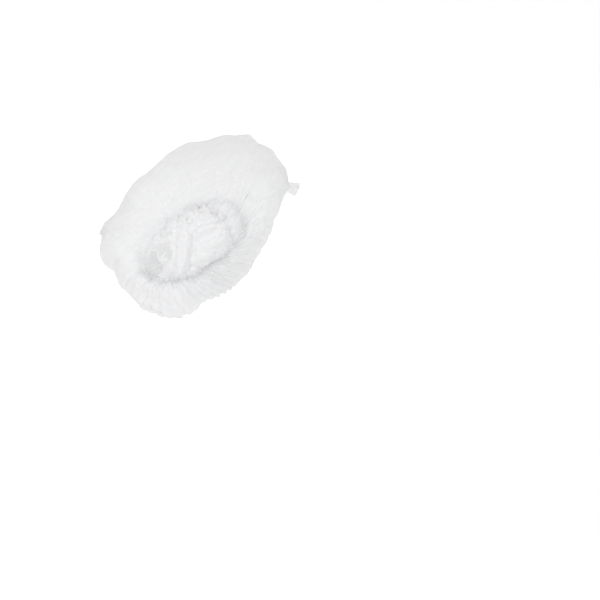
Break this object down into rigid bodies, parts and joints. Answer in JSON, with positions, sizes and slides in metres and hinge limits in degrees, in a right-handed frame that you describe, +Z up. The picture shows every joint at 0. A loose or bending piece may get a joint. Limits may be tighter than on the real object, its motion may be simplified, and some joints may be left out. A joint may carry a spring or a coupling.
{
  "type": "bouffant cap",
  "caption": "Disposable puffed cap of crimped nonwoven cloth with an elastic gathered mouth and welded ends, worn to cover the hair, lying open on its crown.",
  "frame": {"origin": "the middle of the cap's box on the floor that it lies on", "axes": "+X along the long side of the cap towards its higher end, +Y towards the high puffed side away from the mouth, +Z up"},
  "size_m": [0.2156, 0.1466, 0.0931],
  "materials": {
    "nonwoven": "matt",
    "hem_nonwoven": "matt",
    "elastic": "matt",
    "fused_nonwoven": "satin"
  },
  "bodies": {
    "root": {"crown": "nonwoven", "hem": "hem_nonwoven", "elastic": "elastic", "end_seal_left": "fused_nonwoven", "end_seal_right": "fused_nonwoven"}
  },
  "joints": []
}
